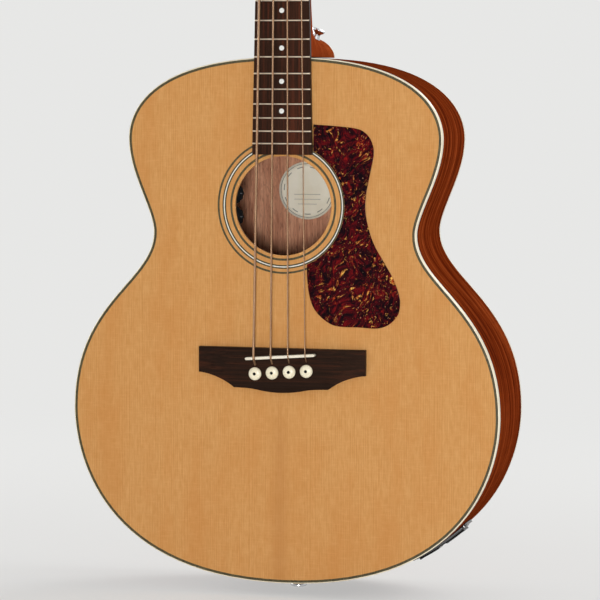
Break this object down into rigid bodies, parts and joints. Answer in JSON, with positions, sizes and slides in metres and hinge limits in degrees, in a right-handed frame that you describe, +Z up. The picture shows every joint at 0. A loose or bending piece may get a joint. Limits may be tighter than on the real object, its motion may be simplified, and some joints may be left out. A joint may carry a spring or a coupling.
{
  "type": "acoustic bass guitar",
  "caption": "Jumbo-bodied acoustic bass guitar with a spruce top, bolt-on style neck, fretted board, open-gear tuners, pinned bridge, thumbwheel preamp and battery drawer.",
  "frame": {"origin": "centre of the end pin's outer face, where the pin's jack socket opens at the tail of the body", "axes": "+Z runs up the neck to the headstock, +Y from the soundboard to the back, +X to the treble side"},
  "size_m": [0.4396, 0.1513, 1.2139],
  "materials": {
    "spruce_top": "amber gloss lacquer over fine straight grain",
    "mahogany_body": "reddish brown satin lacquer",
    "mahogany_neck": "brown satin lacquer",
    "pale_wood": "bare",
    "dark_wood": "oiled, with open streaked grain",
    "cream_plastic": "gloss",
    "tortoise_plastic": "polished tortoise pattern",
    "paper_label": "matte",
    "bone": "polished",
    "bronze_string": "wound",
    "steel": "plain",
    "brass": "plain",
    "gloss_black": "black gloss",
    "chrome": "polished",
    "black_plastic": "satin"
  },
  "bodies": {
    "root": {"soundboard": "spruce_top", "back": "mahogany_body", "side_bass": "mahogany_body", "side_treble": "mahogany_body", "neck_block": "pale_wood", "tail_block": "pale_wood", "top_binding": "cream_plastic", "back_binding": "cream_plastic", "lining_top_bass": "pale_wood", "lining_top_treble": "pale_wood", "lining_back_bass": "pale_wood", "lining_back_treble": "pale_wood", "x_brace_bass": "pale_wood", "x_brace_treble": "pale_wood", "upper_brace": "pale_wood", "tone_bar": "pale_wood", "bridge_plate": "pale_wood", "rosette": "cream_plastic", "pickguard": "tortoise_plastic", "label": "paper_label", "bridge": "dark_wood", "saddle": "bone", "saddle_pickup": "black_plastic", "bridge_pin_1": "bone", "bridge_pin_2": "bone", "bridge_pin_3": "bone", "bridge_pin_4": "bone", "string_1": "bronze_string", "string_2": "bronze_string", "string_3": "bronze_string", "string_4": "bronze_string", "neck": "mahogany_neck", "heel_cap": "cream_plastic", "fretboard": "dark_wood", "nut": "bone", "truss_rod": "steel", "truss_cover": "gloss_black", "headstock_veneer": "gloss_black", "tuner_plate_1": "chrome", "tuner_plate_2": "chrome", "tuner_plate_3": "chrome", "tuner_plate_4": "chrome", "strap_button": "chrome", "end_pin_jack": "chrome", "preamp": "black_plastic", "battery_box": "black_plastic"},
    "key_1": {"tuner_key_1": "chrome"},
    "key_2": {"tuner_key_2": "chrome"},
    "key_3": {"tuner_key_3": "chrome"},
    "key_4": {"tuner_key_4": "chrome"},
    "post_1": {"tuner_post_1": "chrome"},
    "post_2": {"tuner_post_2": "chrome"},
    "post_3": {"tuner_post_3": "chrome"},
    "post_4": {"tuner_post_4": "chrome"},
    "volume": {"volume_wheel": "black_plastic"},
    "tone": {"tone_wheel": "black_plastic"},
    "drawer": {"battery_drawer": "black_plastic", "battery": "steel"},
    "rod_nut": {"truss_nut": "brass"}
  },
  "joints": [
    {"name": "key_1_turn", "type": "hinge", "parent": "root", "child": "key_1", "pos_m": [-0.045, -0.03829, 1.06591], "axis": [-1, 0, 0], "continuous": true},
    {"name": "key_2_turn", "type": "hinge", "parent": "root", "child": "key_2", "pos_m": [-0.045, -0.02374, 1.13438], "axis": [-1, 0, 0], "continuous": true},
    {"name": "key_3_turn", "type": "hinge", "parent": "root", "child": "key_3", "pos_m": [0.045, -0.02374, 1.13438], "axis": [1, 0, 0], "continuous": true},
    {"name": "key_4_turn", "type": "hinge", "parent": "root", "child": "key_4", "pos_m": [0.045, -0.03829, 1.06591], "axis": [1, 0, 0], "continuous": true},
    {"name": "post_1_turn", "type": "hinge", "parent": "root", "child": "post_1", "pos_m": [-0.027, -0.0546, 1.08246], "axis": [0, 0.9781, -0.2079], "continuous": true},
    {"name": "post_2_turn", "type": "hinge", "parent": "root", "child": "post_2", "pos_m": [-0.027, -0.04005, 1.15093], "axis": [0, 0.9781, -0.2079], "continuous": true},
    {"name": "post_3_turn", "type": "hinge", "parent": "root", "child": "post_3", "pos_m": [0.027, -0.04005, 1.15093], "axis": [0, 0.9781, -0.2079], "continuous": true},
    {"name": "post_4_turn", "type": "hinge", "parent": "root", "child": "post_4", "pos_m": [0.027, -0.0546, 1.08246], "axis": [0, 0.9781, -0.2079], "continuous": true},
    {"name": "volume_turn", "type": "hinge", "parent": "root", "child": "volume", "pos_m": [-0.0546, -0.0552, 0.40366], "axis": [0, 1, 0], "range_deg": [-135, 135]},
    {"name": "tone_turn", "type": "hinge", "parent": "root", "child": "tone", "pos_m": [-0.0546, -0.0552, 0.38026], "axis": [0, 1, 0], "range_deg": [-135, 135]},
    {"name": "drawer_slide", "type": "slide", "parent": "root", "child": "drawer", "axis": [0.5727, 0, -0.8198], "range_m": [0, 0.03]},
    {"name": "rod_nut_turn", "type": "hinge", "parent": "root", "child": "rod_nut", "pos_m": [0, -0.0582, 1.04006], "axis": [0, 0, 1], "range_deg": [-360, 360]}
  ],
  "couplings": [
    {"joint": "post_1_turn", "follows": "key_1_turn", "ratio": -0.0625},
    {"joint": "post_2_turn", "follows": "key_2_turn", "ratio": -0.0625},
    {"joint": "post_3_turn", "follows": "key_3_turn", "ratio": 0.0625},
    {"joint": "post_4_turn", "follows": "key_4_turn", "ratio": 0.0625}
  ]
}
